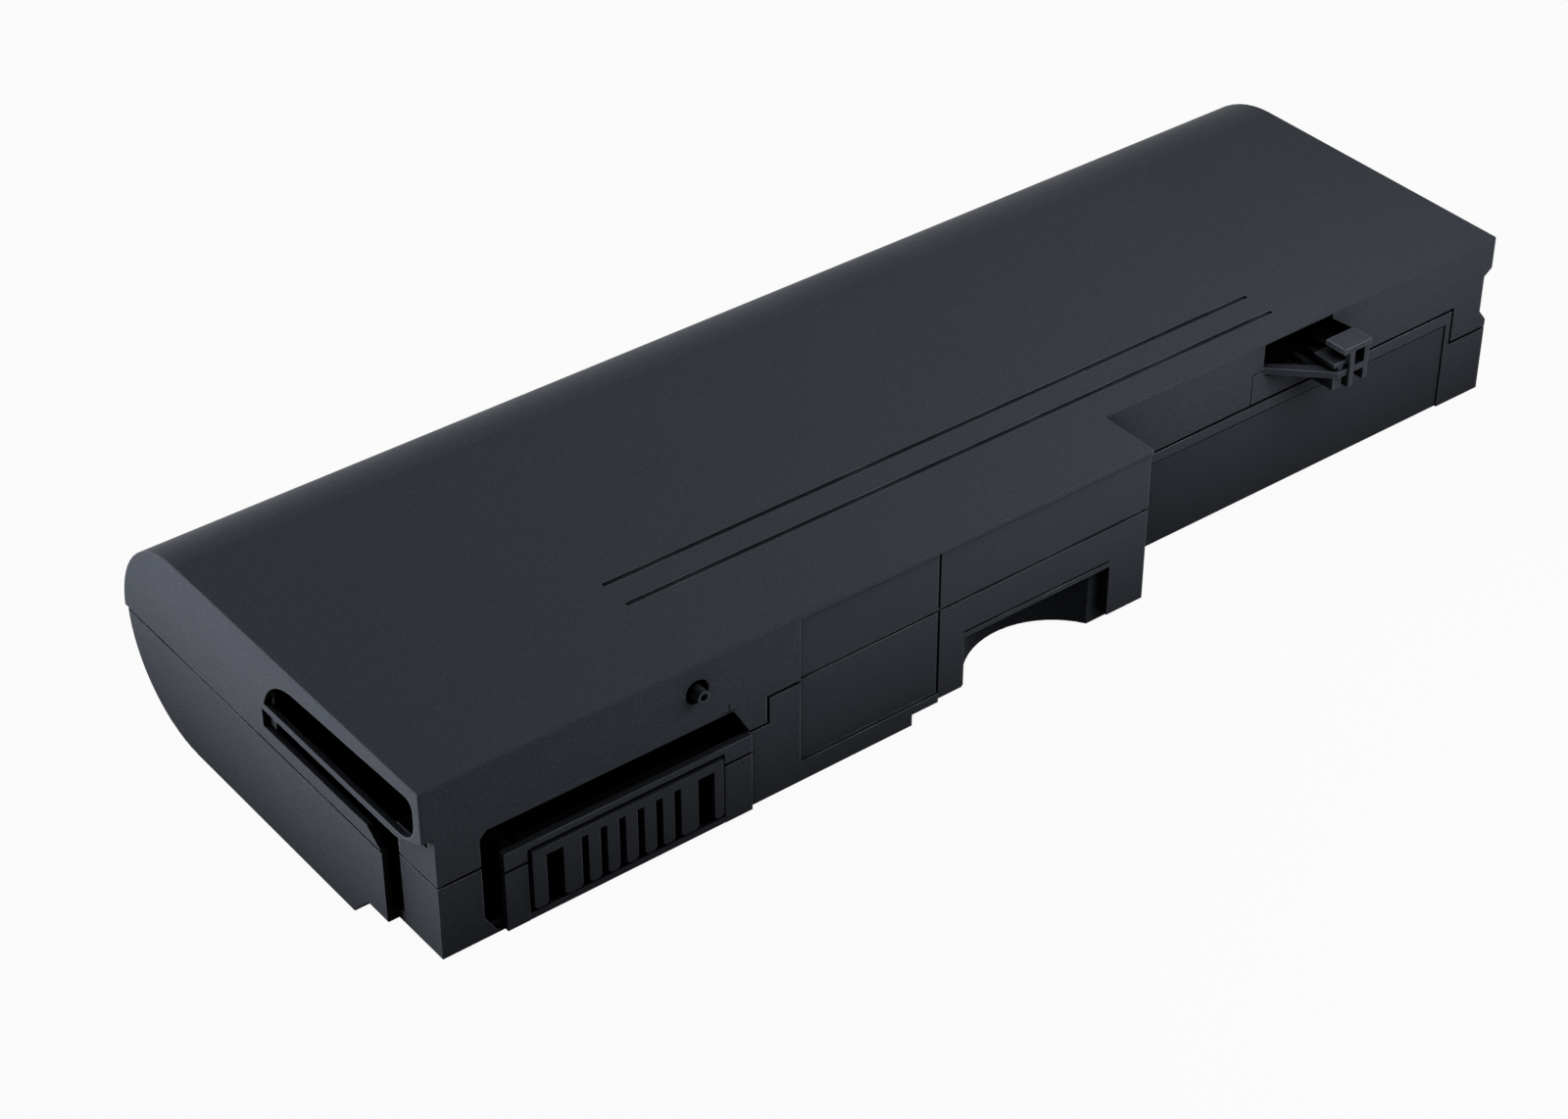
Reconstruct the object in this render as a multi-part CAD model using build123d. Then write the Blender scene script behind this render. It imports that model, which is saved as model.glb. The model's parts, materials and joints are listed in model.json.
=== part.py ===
from build123d import *
import math
import os

# A removable battery pack for a small laptop: two moulded case halves around eight round cells,
# a protection board and a comb connector. Sizes are in millimetres.
# While modelling, x runs from the left end, y from the front face to the rear and z up from the
# surface the pack lies on. A "down" value is a depth below the top face and a "rise" a height over
# the underside. At the end every piece is moved so that the origin lies under the pack's middle.

# Case
height = 32.8
depth = 77.9
wall = 1.8
end_space = 2.65
edge_round = 0.25
upper_round_drop = 0.6
lower_round_drop = 0.2
lower_rear_inset = 0.9
block_length = 124.1
setback = 10.5
front_zone_depth = 19.3
front_zone_rise = 4.3
front_ramp = 4.1
setback_foot_rise = 4.95

# Parting line of the two halves
seam_down = 16.4
front_seam_left_down = 11.1
front_seam_right_down = 10.2
front_step_down = 15.5
seam_rise_x = 54.9
seam_drop_inset = 8.1
seam_depth = 20.0
seam_line_width = 0.35
front_line_width = 0.5
seam_line_depth = 0.9
post_seam_down = 18.5

# Left end: two slots over a hollow, and the stepped corner pillar
end_plate = 0.9
end_hollow_depth = 9.0
corner_hollow_depth = 6.4
slot_front = 1.6
slot_rear_inset = 0.7
slot_top_down = 2.1
slot_top_fall = 1.2
slot_bottom_down = 9.7
slot_round = 9.0
slot_front_round = 1.5
slot_nose_round = 3.8
low_slot_top_down = 10.8
low_slot_bottom_down = 13.9
low_slot_front = 13.6
pillar_inset = 1.8
pillar_depth = 8.9
pillar_lip_down = 8.1
pillar_rail_front = 6.3
end_plate_front = 10.4

# Right end: guide groove
guide_top_down = 5.4
guide_bottom_down = 15.2
guide_inset = 1.7
guide_top_slope = 1.2
guide_bottom_slope = 2.2

# Connector tower, its pocket and its comb
tower_left = 11.5
tower_right = 51.6
tower_proud = 0.7
tower_plate = 0.4
post_width = 4.1
bridge_top_down = 15.4
bridge_bottom_down = 16.5
pocket_left = 8.5
pocket_top_down = 10.6
pocket_corner = 1.1
pocket_slope = 2.7
pocket_end = -0.2
pocket_back = 9.0
pocket_foot_left = 10.3
pocket_foot_rise = 7.8
pocket_sill = 0.5
tie_width = 1.6
comb_fit = 0.5
comb_base_fit = 0.1
comb_shift = -0.5
comb_proud = 1.1
comb_top_down = 16.9
comb_slot_top_down = 18.3
comb_finger_rise = 6.1
comb_tip_gap = 0.75
comb_tip_gap_depth = 1.6
comb_front_depth = 3.2
comb_rear_top_rise = 9.8
comb_tail = 1.4
comb_slot_depth = 2.4
comb_base_set = 0.45
comb_pitch = 3.0
comb_narrow_count = 6
comb_narrow_slot = 1.1
comb_wide_slot = 2.7
comb_wide_offset = 12.25
comb_finger_round = 0.7
comb_offset = 0.3

# Contacts of the comb
contact_width = 0.6
contact_height = 0.8
contact_rise = 7.1
contact_front = 3.4
contact_fit = 0.1
contact_tail = 0.8
contact_over_board = 1.5
contact_tip = 0.5

# Pin in its round recess on the front
pin_x = 43.2
pin_down = 4.5
pin_hole_radius = 1.9
pin_hole_depth = 2.6
pin_radius = 1.0
pin_bore_radius = 0.55
pin_bore_depth = 1.2
pin_length = 1.5

# Front block: recessed panel, feet and finger notch
panel_left = 60.4
panel_groove_inset = 4.9
panel_groove_width = 0.45
panel_groove_depth = 0.9
panel_recess = 0.6
panel_lip = 0.7
panel_foot_rise = 7.7
middle_foot_width = 9.6
right_foot_width = 6.9
foot_rise = 6.2
foot_step_depth = 2.65
notch_top_down = 17.9
notch_radius = 13.7
notch_reach = 9.25
notch_line = 0.35
notch_line_depth = 1.1
notch_lip = 0.8

# Lines on the top face
line_left = 43.9
line_right_inset = 43.1
line_first_y = 16.3
line_spacing = 5.4
line_width = 0.8
line_depth = 0.35

# Catch on the set-back front
catch_end_distance = 35.5
catch_width = 14.1
catch_mouth_top_down = 0.3
catch_mouth_bottom_down = 6.3
catch_well_down = 8.3
catch_lip = 1.2
catch_side_run = 5.7
catch_side_top_down = 1.2
catch_side_foot_down = 5.4
catch_bar_top_down = 4.4
catch_bar_bottom_down = 5.5
catch_bar_width = 1.6
catch_reach = 7.8
catch_slant = 7.9
catch_rib = 0.9
catch_top_plate_down = 0.5
catch_top_plate_thickness = 0.9
catch_top_plate_width = 5.6
catch_step_down = 3.0
catch_step_width = 1.2
catch_step_length = 2.9
catch_step_thickness = 0.7
catch_step_set = 0.4
catch_step_overhang = 1.2
catch_head_depth = 3.5
catch_post_distance = 4.3
catch_web_down = 7.6
catch_web_count = 3
catch_tab_margin = 2.1
catch_tab_down = 5.0
catch_tab_line_width = 0.25
catch_tab_line_depth = 0.3

# Label on the set-back front
label_left_margin = 1.5
label_right_inset = 9.3
label_top_down = 12.5
label_recess = 0.35
label_thickness = 0.2
label_margin = 0.3

# Cells and their strips
cell_radius = 9.15
cell_length = 65.2
cell_gap = 0.25
cell_columns = 3
rear_row_lift = 2.8
strip_thickness = 0.3
strip_gap = 0.1
strip_half_width = 4.0
strip_tab_half_width = 2.4
strip_past = 3.0
positive_tab_angle = 35.0
cradle_thickness = 1.4
cradle_fit = 0.3
cradle_below_seam = 1.5

# Protection board on its bosses
board_left = 18.0
board_end_gap = 5.4
board_front = 13.2
board_cell_gap = 2.1
board_underside = 12.0
board_thickness = 1.2
boss_radius = 2.2
boss_inset = 3.0
boss_front_inset = 4.6
board_fit = 0.2
gauge_size = (9.0, 6.0, 1.4)
guard_size = (6.0, 5.0, 1.2)
transistor_size = (5.0, 4.0, 1.1)
transistor_pitch = 6.5
transistor_count = 3
sense_size = (6.4, 3.2, 0.7)
fuse_size = (7.0, 4.0, 2.0)
capacitor_size = (1.6, 0.9, 0.8)
capacitor_pitch = 3.5
capacitor_count = 6
sensor_size = (4.0, 2.4, 1.6)

# Ribbon leads from the strips to the board
lead_half_width = 0.9
lead_thickness = 0.4
lead_lift = 7.2
lead_pad_inset = 3.0
lead_pad_pitch = 6.0
lead_pad_right = 8.0
lead_front_inset = 4.5

# Foam pads at the cells' ends
pad_margin = 2.0
pad_past = 4.0

# How far cutting shapes run past a face, into a hollow, and how near counts as the same place
reach = 3.0
overlap = 0.1
near = 0.01

# Derived places
seam_z = height - seam_down
ramp_start = front_zone_depth - front_ramp
front_zone_down = height - front_zone_rise
setback_foot_down = height - setback_foot_rise
pocket_foot_down = height - pocket_foot_rise
pocket_sill_down = front_zone_down - pocket_sill
comb_finger_down = height - comb_finger_rise
comb_rear_top_down = height - comb_rear_top_rise
contact_down = height - contact_rise - contact_height
panel_foot_down = height - panel_foot_rise
foot_down = height - foot_rise
upper_round_z = seam_z - upper_round_drop
upper_rear_radius = height - upper_round_z
upper_round_y = depth - upper_rear_radius
lower_rear_radius = seam_z - lower_round_drop
comb_middle = (tower_left + tower_right) / 2 + comb_shift + comb_offset
comb_left = tower_left + post_width + comb_fit + comb_shift
comb_right = tower_right - post_width - comb_fit + comb_shift
comb_back = pocket_back + wall + comb_tail
cell_pitch = cell_length + strip_thickness + 2 * strip_gap
cells_start = wall + end_space
length = 2 * cells_start + cell_columns * cell_pitch - strip_thickness - 2 * strip_gap
seam_drop_x = length - seam_drop_inset
line_right = length - line_right_inset
notch_right = block_length - right_foot_width
notch_left = notch_right - 2 * notch_radius
middle_foot_left = notch_left - middle_foot_width
panel_groove_x = notch_left - panel_groove_inset
catch_right = length - catch_end_distance
catch_left = catch_right - catch_width
catch_side = catch_right + catch_side_run
catch_top_plate_left = catch_right - catch_top_plate_width
catch_step_left = catch_top_plate_left - catch_step_width
label_left = block_length + label_left_margin
label_right = length - label_right_inset
rear_row_y = depth - lower_rear_inset - wall - cell_gap - cell_radius
rear_row_z = upper_round_z + rear_row_lift
high_row_z = height - wall - cell_gap - cell_radius
low_row_z = wall + cell_gap + cell_radius
cell_spacing = 2 * cell_radius + cell_gap
low_row_y = rear_row_y - math.sqrt(cell_spacing ** 2 - (rear_row_z - low_row_z) ** 2)
front_row_y = low_row_y - math.sqrt(cell_spacing ** 2 - (high_row_z - low_row_z) ** 2)
rear_row = (rear_row_y, rear_row_z)
low_row = (low_row_y, low_row_z)
front_row = (front_row_y, high_row_z)
hollow_rear = low_row_y - cell_radius - cell_gap - wall
guide_rear = low_row_y - cell_radius - cell_gap
slot_rear = guide_rear - slot_rear_inset
catch_back = front_row_y - cell_radius - 2 * strip_gap - strip_thickness - wall
lead_height = high_row_z + lead_lift
board_top = board_underside + board_thickness
board_length = cells_start + cell_pitch - board_end_gap - board_left
board_depth = low_row_y - cell_radius - board_cell_gap - board_front


def z_at(down):
    return height - down


def box_between(xs, ys, downs):
    middle = (sum(xs) / 2, sum(ys) / 2, z_at(sum(downs) / 2))
    return Pos(*middle) * Box(xs[1] - xs[0], ys[1] - ys[0], downs[1] - downs[0])


def front_prism(points, ys):
    # Outline of (x, down) points on the front, carried from one y to another
    outline = Polyline(*[(x, ys[0], z_at(down)) for x, down in points], close=True)
    return extrude(make_face(outline), amount=ys[1] - ys[0], dir=(0, 1, 0))


def end_prism(points, xs):
    # Outline of (y, down) points on the end, carried from one x to another
    outline = Polyline(*[(xs[0], y, z_at(down)) for y, down in points], close=True)
    return extrude(make_face(outline), amount=xs[1] - xs[0], dir=(1, 0, 0))


def plan_prism(points, downs):
    # Outline of (x, y) points in plan, carried from one depth to another
    outline = Polyline(*[(x, y, z_at(downs[1])) for x, y in points], close=True)
    return extrude(make_face(outline), amount=downs[1] - downs[0], dir=(0, 0, 1))


def cylinder_along_x(radius, xs, y, z):
    return Pos((xs[0] + xs[1]) / 2, y, z) * Rot(0, 90, 0) * Cylinder(radius, xs[1] - xs[0])


def upper_section(inset):
    # The rear round is struck from a point a little under the seam
    radius = upper_rear_radius - inset
    start = math.degrees(math.asin(upper_round_drop / radius))
    rear = CenterArc((upper_round_y, upper_round_z), radius, start, 90 - start)
    return make_face(rear + Polyline(rear @ 1, (inset, height - inset), (inset, seam_z), rear @ 0))


def lower_section(inset):
    rear = depth - lower_rear_inset - inset
    radius = lower_rear_radius - inset
    front_floor = z_at(front_zone_down) + inset
    sides = Polyline((rear, inset + radius), (rear, seam_z), (inset, seam_z), (inset, front_floor),
                     (ramp_start + inset, front_floor), (front_zone_depth + inset, inset),
                     (rear - radius, inset))
    return make_face(sides + CenterArc((rear - radius, inset + radius), radius, 270, 90))


def case_half(section, inset):
    bar = extrude(Plane.YZ.offset(inset) * section, amount=length - 2 * inset)
    corner = box_between((block_length - inset, length + reach), (-reach, setback + inset),
                         (-reach, height + reach))
    return bar - corner


def case_form(inset):
    return case_half(upper_section(inset), inset) + case_half(lower_section(inset), inset)


def outer_edges(half, is_upper):
    # The edges of one half that show: its end outlines, its front corners and its top front edges
    chosen = []
    for edge in half.edges():
        box = edge.bounding_box()
        middle = edge.center()
        tall = box.max.Z - box.min.Z > near
        on_seam = not tall and abs(middle.Z - seam_z) < near
        on_end = box.max.X < near or box.min.X > length - near
        upright = tall and middle.Y < setback - near
        top_front = is_upper and abs(box.min.Z - height) < near and middle.Y < setback + near
        if not on_seam and (on_end or upright or top_front):
            chosen.append(edge)
    return chosen


def rounded_case():
    upper = case_half(upper_section(0), 0)
    lower = case_half(lower_section(0), 0)
    upper = fillet(outer_edges(upper, True), edge_round)
    lower = fillet(outer_edges(lower, False), edge_round)
    return upper + lower


def front_seam_at(x):
    # The parting line on the front climbs a little to the right
    share = (x - seam_rise_x) / (seam_drop_x - seam_rise_x)
    return front_seam_left_down + share * (front_seam_right_down - front_seam_left_down)


def below_seam(lift):
    # Everything under the parting surface, raised all along by a lift
    body = box_between((-reach, length + reach), (-reach, depth + reach), (seam_down - lift, height + reach))
    tower = box_between((tower_left - wall, tower_right), (-reach, pocket_back + wall),
                        (pocket_top_down, post_seam_down - lift))
    rise_x = seam_rise_x - lift
    drop_x = seam_drop_x + lift
    front = [(tower_right, seam_down + reach), (tower_right, front_step_down - lift),
             (rise_x, front_step_down - lift), (rise_x, front_seam_at(rise_x) - lift),
             (drop_x, front_seam_at(drop_x) - lift), (drop_x, seam_down + reach)]
    return body - tower + front_prism(front, (-reach, seam_depth))


def end_hollow(grow):
    # The space behind the slotted end plate, less deep beside the corner pillar
    main = box_between((end_plate, end_hollow_depth + grow), (pillar_depth - grow, hollow_rear + grow),
                       (slot_top_down - grow, front_zone_down - wall + grow))
    corner = box_between((end_plate, corner_hollow_depth + grow), (slot_front - grow, pillar_depth + grow),
                         (slot_top_down - grow, low_slot_top_down + grow))
    return main + corner


def pillar_step(grow):
    # The corner pillar stands a step back from the end, under a sloping lip
    outline = [(-reach, pillar_lip_down - grow), (grow, pillar_lip_down - grow),
               (pillar_rail_front + grow, low_slot_top_down - grow),
               (end_plate_front + grow, low_slot_top_down - grow), (end_plate_front + grow, height),
               (-reach, height)]
    return end_prism(outline, (-reach, pillar_inset + grow))


def end_slot():
    # Its top edge falls to the rear and ends in a wide round that runs down to the lower edge
    bottom = z_at(slot_bottom_down)
    round_z = z_at(slot_top_down + slot_top_fall) - slot_round
    start = math.asin((bottom - round_z) / slot_round)
    round_y = slot_rear - slot_round * math.cos(start)
    rear = CenterArc((round_y, round_z), slot_round, math.degrees(start), 90 - math.degrees(start))
    sides = Polyline(rear @ 1, (slot_front, z_at(slot_top_down)), (slot_front, bottom), rear @ 0)
    slot = extrude(Plane.YZ.offset(-reach) * make_face(rear + sides), amount=reach + end_plate + overlap)
    low, high = slot.edges().filter_by(Axis.X).filter_by(
        lambda e: e.center().Y < slot_front + near).sort_by(Axis.Z)
    slot = fillet(high, slot_front_round)
    low = slot.edges().filter_by(Axis.X).sort_by(lambda e: e.center().Y + e.center().Z)[0]
    return fillet(low, slot_nose_round)


def end_cuts():
    # The two slots through the end plate and the opening beside the pillar's foot
    lower = [(guide_rear, low_slot_top_down), (guide_rear, low_slot_bottom_down),
             (low_slot_front, low_slot_bottom_down), (end_plate_front, seam_down),
             (pillar_depth, seam_down), (pillar_depth, low_slot_top_down)]
    foot = box_between((-reach, corner_hollow_depth), (pillar_depth, end_plate_front),
                       (seam_down, front_zone_down - wall))
    return [end_slot(), end_prism(lower, (-reach, end_plate + overlap)), foot]


def guide_groove(grow):
    # A groove along the right end, wider at its mouth
    floor_x = length - guide_inset - grow
    outline = [(floor_x, guide_top_down + guide_top_slope - grow), (length, guide_top_down - grow),
               (length + reach, guide_top_down - grow), (length + reach, guide_bottom_down + grow),
               (length, guide_bottom_down + grow), (floor_x, guide_bottom_down - guide_bottom_slope + grow)]
    return front_prism(outline, (-reach, guide_rear + grow))


def connector_pocket(grow):
    return box_between((pocket_left - grow, tower_right + grow), (tower_plate, pocket_back + grow),
                       (pocket_top_down - grow, front_zone_down - wall + grow))


def pocket_mouth():
    # The opening above and to the left of the tower, with its sloped right end
    outline = [(pocket_left, pocket_top_down + pocket_corner), (pocket_left + pocket_corner, pocket_top_down),
               (tower_right - pocket_end - pocket_slope, pocket_top_down),
               (tower_right - pocket_end, bridge_top_down),
               (tower_left, bridge_top_down), (tower_left, pocket_sill_down),
               (pocket_foot_left, pocket_sill_down), (pocket_left, pocket_foot_down)]
    return front_prism(outline, (-reach, tower_plate + overlap))


def comb_space(fit):
    # The opening between the tower's posts that the comb fills, through the pocket's rear wall
    front = box_between((comb_left - fit, comb_right + fit), (-reach, comb_front_depth + fit),
                        (comb_top_down - fit, height))
    rear = box_between((comb_left - fit, comb_right + fit), (-reach, comb_back + fit),
                       (comb_rear_top_down - fit, height))
    return front + rear


def tower():
    return box_between((tower_left, tower_right), (-tower_proud, tower_plate),
                       (bridge_top_down, front_zone_down))


def tower_ties():
    # Webs that tie the tower's posts to the pocket's rear wall
    lefts = (tower_left + post_width / 2, tower_right - post_width / 2)
    return [box_between((x - tie_width / 2, x + tie_width / 2), (0, pocket_back + wall / 2),
                        (bridge_bottom_down, front_zone_down)) for x in lefts]


def finger_notch(grow):
    # A round scoop under the front block, open to the front between straight sides
    axis_y = notch_reach - notch_radius
    middle = (notch_left + notch_right) / 2
    top = notch_top_down - grow
    scoop = Pos(middle, axis_y, z_at((top + height + reach) / 2)) * Cylinder(notch_radius + grow,
                                                                             height + reach - top)
    mouth = box_between((notch_left - grow, notch_right + grow), (-reach, foot_step_depth + grow),
                        (top, height + reach))
    return scoop + mouth


def catch_recess(grow):
    # A deep pocket under the top front edge: its ceiling slopes in, its right side slants out
    # and its floor lies below its mouth
    xs = (catch_left - grow, catch_right + grow)
    ceiling = catch_mouth_top_down + wall - grow
    mouth = end_prism([(setback - overlap, catch_mouth_top_down - grow), (setback + wall, ceiling),
                       (catch_back + grow, ceiling), (catch_back + grow, catch_mouth_bottom_down + grow),
                       (setback - overlap, catch_mouth_bottom_down + grow)], xs)
    well = box_between(xs, (setback + catch_lip - grow, catch_back + grow),
                       (catch_mouth_bottom_down - overlap, catch_well_down + grow))
    side_x = catch_right - overlap
    side = front_prism([(side_x, catch_side_top_down - grow), (catch_right + grow, catch_side_top_down - grow),
                        (catch_side + grow, catch_side_foot_down - grow),
                        (catch_side + grow, catch_mouth_bottom_down + grow),
                        (side_x, catch_mouth_bottom_down + grow)], (setback - overlap, catch_back + grow))
    return mouth + well + side


def foot_steps(grow):
    # The steps cut into the front block's two feet, and the shorter foot of the set-back front
    steps = [((middle_foot_left, notch_left), foot_step_depth, foot_down),
             ((notch_right, block_length + reach), foot_step_depth, foot_down),
             ((block_length, length + reach), ramp_start - grow, setback_foot_down)]
    return [box_between((xs[0] - grow, xs[1] + grow), (-reach, back + grow), (down - grow, height))
            for xs, back, down in steps]


def panel_cuts():
    # The recessed panel on the front block, its upright groove and the line over the finger notch
    panel = front_prism([(panel_left, panel_lip), (block_length + reach, panel_lip),
                         (block_length + reach, height), (panel_groove_x, height),
                         (panel_groove_x, panel_foot_down), (panel_left, panel_foot_down)],
                        (-reach, panel_recess))
    groove = box_between((panel_groove_x, panel_groove_x + panel_groove_width), (-reach, panel_groove_depth),
                         (panel_lip, foot_down))
    line = box_between((notch_left, notch_right), (-reach, notch_line_depth),
                       (notch_top_down - notch_lip - notch_line, notch_top_down - notch_lip))
    return [panel, groove, line]


def top_lines():
    lines = []
    for number in range(2):
        y = line_first_y + number * line_spacing
        half = line_width / 2
        run = box_between((line_left, line_right), (y - half, y + half), (-reach, line_depth))
        ends = [Pos(x, y, z_at(0)) * Cylinder(half, 2 * line_depth) for x in (line_left, line_right)]
        lines.append(run + ends)
    return lines


def label_bed():
    return box_between((label_left, label_right), (-reach, setback + label_recess), (label_top_down, height))


def tab_line():
    # A fine line beside the catch, from its pocket out and down to the seam
    half = catch_tab_line_width / 2
    left = catch_left - catch_tab_margin
    band = [((left - half, catch_left + overlap), (catch_tab_down - half, catch_tab_down + half)),
            ((left - half, left + half), (catch_tab_down - half, front_seam_at(left)))]
    return [box_between(xs, (setback - overlap, setback + catch_tab_line_depth), downs) for xs, downs in band]


def round_on_front(radius, ys, x, down):
    return Pos(x, sum(ys) / 2, z_at(down)) * Rot(90, 0, 0) * Cylinder(radius, ys[1] - ys[0])


def pin():
    # A hollow-ended pin that stands in the middle of its recess
    shaft = round_on_front(pin_radius, (-pin_length, wall + pin_hole_depth), pin_x, pin_down)
    bore = round_on_front(pin_bore_radius, (-pin_length - reach, pin_bore_depth - pin_length),
                          pin_x, pin_down)
    return shaft - bore


def seam_groove():
    # The fine line that the two halves leave along the outside, wider on the front
    around = box_between((-reach, length + reach), (-reach, depth + reach), (-reach, height + reach))
    skin = around - case_form(seam_line_depth)
    skin += box_between((-reach, pillar_inset + seam_line_depth), (-reach, pillar_depth), (0, height))
    front = box_between((pillar_inset + seam_line_depth, length - seam_line_depth),
                        (-reach, setback + seam_line_depth), (0, height))
    fine = below_seam(seam_line_width / 2) - below_seam(-seam_line_width / 2)
    wide = below_seam(front_line_width / 2) - below_seam(-front_line_width / 2)
    return (skin & fine) + (skin & wide & front)


def cell_cradles():
    # Ribs across the lower half, cut to the cells they carry, that end under the seam and under the
    # place where the two rear rows meet
    rib_top = min(seam_z - cradle_below_seam, (rear_row_z + low_row_z) / 2)
    column_middles = [cells_start + cell_length / 2 + column * cell_pitch for column in range(cell_columns)]
    inside = case_form(wall / 2)
    cells = [cylinder_along_x(cell_radius + cradle_fit, (0, length), *row) for row in (rear_row, low_row)]
    front_cells = cylinder_along_x(cell_radius + cradle_fit, (0, length), *front_row)
    ribs = []
    for number, x in enumerate(column_middles):
        front = low_row_y if number == 0 else front_row_y - cell_radius
        rib = box_between((x - cradle_thickness / 2, x + cradle_thickness / 2), (front, depth),
                          (height - rib_top, height))
        rib = (rib & inside) - cells
        ribs.append(rib - front_cells)
    return ribs


def boss_places():
    xs = (board_left + boss_inset, board_left + board_length - boss_inset)
    ys = (board_front + boss_front_inset, board_front + board_depth - boss_inset)
    return [(x, y) for x in xs for y in ys]


def board_bosses():
    inside = case_form(wall / 2)
    return [Pos(x, y, board_underside / 2) * Cylinder(boss_radius, board_underside) & inside
            for x, y in boss_places()]


def catch():
    # A fixed hook: a slanted bar on webs, and a stepped head on posts over its tip
    tip = setback - catch_reach
    slant_x = catch_left + catch_slant
    root = setback + catch_lip
    bar = plan_prism([(catch_left, setback), (slant_x, tip), (catch_right, tip),
                      (catch_right, tip + catch_bar_width), (slant_x, tip + 1.5 * catch_bar_width),
                      (catch_left, setback + catch_bar_width)], (catch_bar_top_down, catch_bar_bottom_down))
    foot = box_between((catch_left, catch_left + catch_rib), (setback, root),
                       (catch_bar_top_down, catch_mouth_bottom_down + overlap))
    head_back = tip + catch_head_depth
    plate = box_between((catch_top_plate_left, catch_right), (tip - catch_step_set, head_back),
                        (catch_top_plate_down, catch_top_plate_down + catch_top_plate_thickness))
    step = box_between((catch_step_left, catch_step_left + catch_step_length),
                       (tip + catch_step_set, head_back + catch_step_overhang),
                       (catch_step_down, catch_step_down + catch_step_thickness))
    post = box_between((catch_right - catch_post_distance, catch_right - catch_post_distance + catch_rib),
                       (tip - catch_step_set, head_back), (catch_top_plate_down, catch_web_down))
    stem = box_between((catch_step_left + catch_rib, catch_step_left + 2 * catch_rib),
                       (tip + catch_step_set, head_back), (catch_step_down, catch_web_down))
    last_post = box_between((catch_right - catch_rib, catch_right), (tip, head_back),
                            (catch_top_plate_down, catch_web_down))
    span = (catch_right - catch_step_left - catch_rib) / (catch_web_count - 1)
    lefts = [catch_step_left + number * span for number in range(catch_web_count)]
    webs = [box_between((x, x + catch_rib), (tip + catch_step_set, root),
                        (catch_bar_bottom_down - overlap, catch_web_down)) for x in lefts]
    return [bar, foot, plate, step, post, stem, last_post] + webs


def case_shell():
    pockets = [end_hollow, pillar_step, guide_groove, connector_pocket, finger_notch, catch_recess]
    cavity = case_form(wall)
    for pocket in pockets:
        cavity -= pocket(wall)
    for step in foot_steps(wall):
        cavity -= step
    pin_boss = round_on_front(pin_hole_radius + wall, (0, pin_hole_depth + wall), pin_x, pin_down)
    cavity -= pin_boss
    shell = rounded_case() + tower()
    shell -= cavity
    for pocket in pockets:
        shell -= pocket(0)
    shell += tower_ties()
    cuts = end_cuts() + foot_steps(0) + panel_cuts() + top_lines() + tab_line()
    cuts += [pocket_mouth(), label_bed(), seam_groove()]
    cuts.append(round_on_front(pin_hole_radius, (-reach, pin_hole_depth), pin_x, pin_down))
    cuts.append(comb_space(comb_fit))
    for cut in cuts:
        shell -= cut
    return shell + [pin()] + catch()


def connector_block():
    # Rounded fingers side by side over a base that stands a little behind them
    block = comb_space(0) & box_between((0, length), (-comb_proud, depth), (0, front_zone_down))
    base_down = comb_finger_down + comb_tip_gap
    middle_slots = [comb_middle + comb_pitch * (number - (comb_narrow_count - 1) / 2)
                    for number in range(comb_narrow_count)]
    slots = [(x, comb_narrow_slot) for x in middle_slots]
    slots += [(comb_middle + side * comb_wide_offset, comb_wide_slot) for side in (-1, 1)]
    for x, width in slots:
        block -= box_between((x - width / 2, x + width / 2), (-reach, comb_slot_depth),
                             (comb_slot_top_down, base_down))
        block -= box_between((x - contact_width / 2 - contact_fit, x + contact_width / 2 + contact_fit),
                             (0, comb_back + reach), (contact_down - contact_fit,
                                                      contact_down + contact_height + contact_fit))
    block -= box_between((0, length), (-reach, comb_tip_gap_depth), (comb_finger_down, base_down))
    base_front = comb_base_set - comb_proud
    block -= box_between((0, length), (-reach, base_front), (base_down, height))
    spread = comb_fit - comb_base_fit
    block += box_between((comb_left - spread, comb_right + spread), (base_front, comb_front_depth),
                         (base_down, front_zone_down))
    ends = block.edges().filter_by(Axis.Y).filter_by(
        lambda e: abs(e.center().Z - z_at(comb_finger_down)) < near and e.center().Y < comb_tip_gap_depth)
    return fillet(ends, comb_finger_round), [x for x, width in slots]


def connector_contacts(places):
    contacts = []
    tail_y = board_front + contact_over_board
    for x in places:
        xs = (x - contact_width / 2, x + contact_width / 2)
        blade = box_between(xs, (contact_front, tail_y), (contact_down, contact_down + contact_height))
        tail = box_between(xs, (tail_y - contact_tail, tail_y),
                           (height - board_top - contact_tip, contact_down + contact_height))
        contacts.append(blade + tail)
    return contacts


def cell(column, row):
    start = cells_start + column * cell_pitch
    return cylinder_along_x(cell_radius, (start, start + cell_length), *row)


def strip_x(plane):
    # Where the strip at the left end of a column starts
    return cells_start + plane * cell_pitch - strip_gap - strip_thickness


def flat_bar(xs, start, end, half_width, past):
    # A flat bar along the line between two (y, z) points, and a little past both
    dy = end[0] - start[0]
    dz = end[1] - start[1]
    slope = math.degrees(math.atan2(dz, dy))
    bar = Box(xs[1] - xs[0], math.hypot(dy, dz) + 2 * past, 2 * half_width)
    return Pos(sum(xs) / 2, (start[0] + end[0]) / 2, (start[1] + end[1]) / 2) * Rot(slope, 0, 0) * bar


def strip_bar(plane, start, end, half_width, past):
    return flat_bar((strip_x(plane), strip_x(plane) + strip_thickness), start, end, half_width, past)


def valley_tab_y(plane):
    # The tabs stand side by side, so that a lead from a far tab passes the near ones
    return low_row_y + (plane - 1) * (strip_tab_half_width + lead_half_width + cell_gap)


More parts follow.
